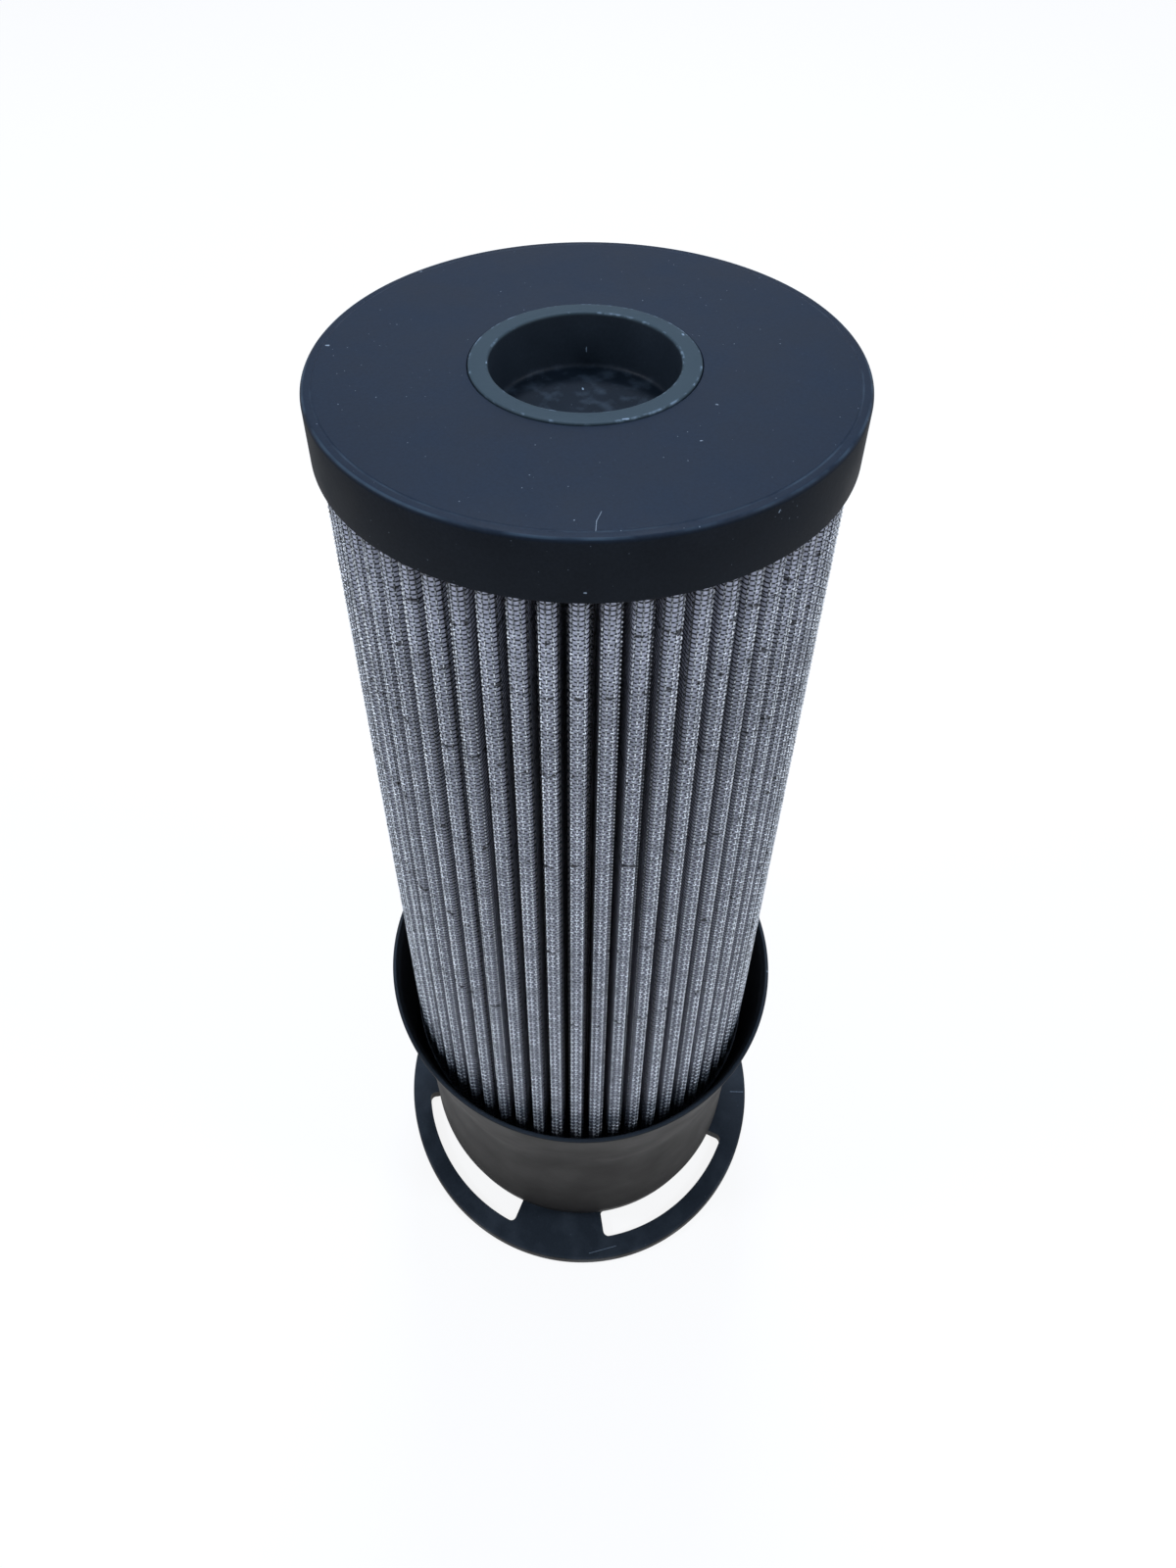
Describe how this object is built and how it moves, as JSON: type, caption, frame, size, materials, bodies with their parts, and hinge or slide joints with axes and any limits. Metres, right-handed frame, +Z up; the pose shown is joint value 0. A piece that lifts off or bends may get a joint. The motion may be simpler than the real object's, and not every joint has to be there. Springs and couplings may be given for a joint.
{
  "type": "pleated filter element",
  "caption": "Cylindrical pleated filter element with a wire-cloth surface, a capped top with a blind locating recess, and a flared catch cup on a slotted base flange.",
  "frame": {"origin": "centre of the base flange's underside", "axes": "+Z up the element's axis towards the locating recess; +X through the middle of one flange slot"},
  "size_m": [0.102, 0.102, 0.2538],
  "materials": {
    "cap_plastic": "satin moulded black",
    "plug_plastic": "satin moulded black",
    "cup_plastic": "satin moulded black",
    "core_plastic": "moulded black",
    "wire_cloth": "woven wire, dark epoxy coat",
    "glass_mat": "pale non-woven",
    "seam_adhesive": "cured adhesive",
    "potting": "cured resin",
    "seal_rubber": "matt black rubber"
  },
  "bodies": {
    "root": {"top_end_cap": "cap_plastic", "locating_plug": "plug_plastic", "outer_wire_mesh": "wire_cloth", "filter_media": "glass_mat", "pleat_seam": "seam_adhesive", "core_tube": "core_plastic", "top_adhesive": "potting", "bottom_adhesive": "potting", "bottom_end_cap": "core_plastic", "outlet_seal": "seal_rubber", "catch_cup": "cup_plastic"}
  },
  "joints": []
}
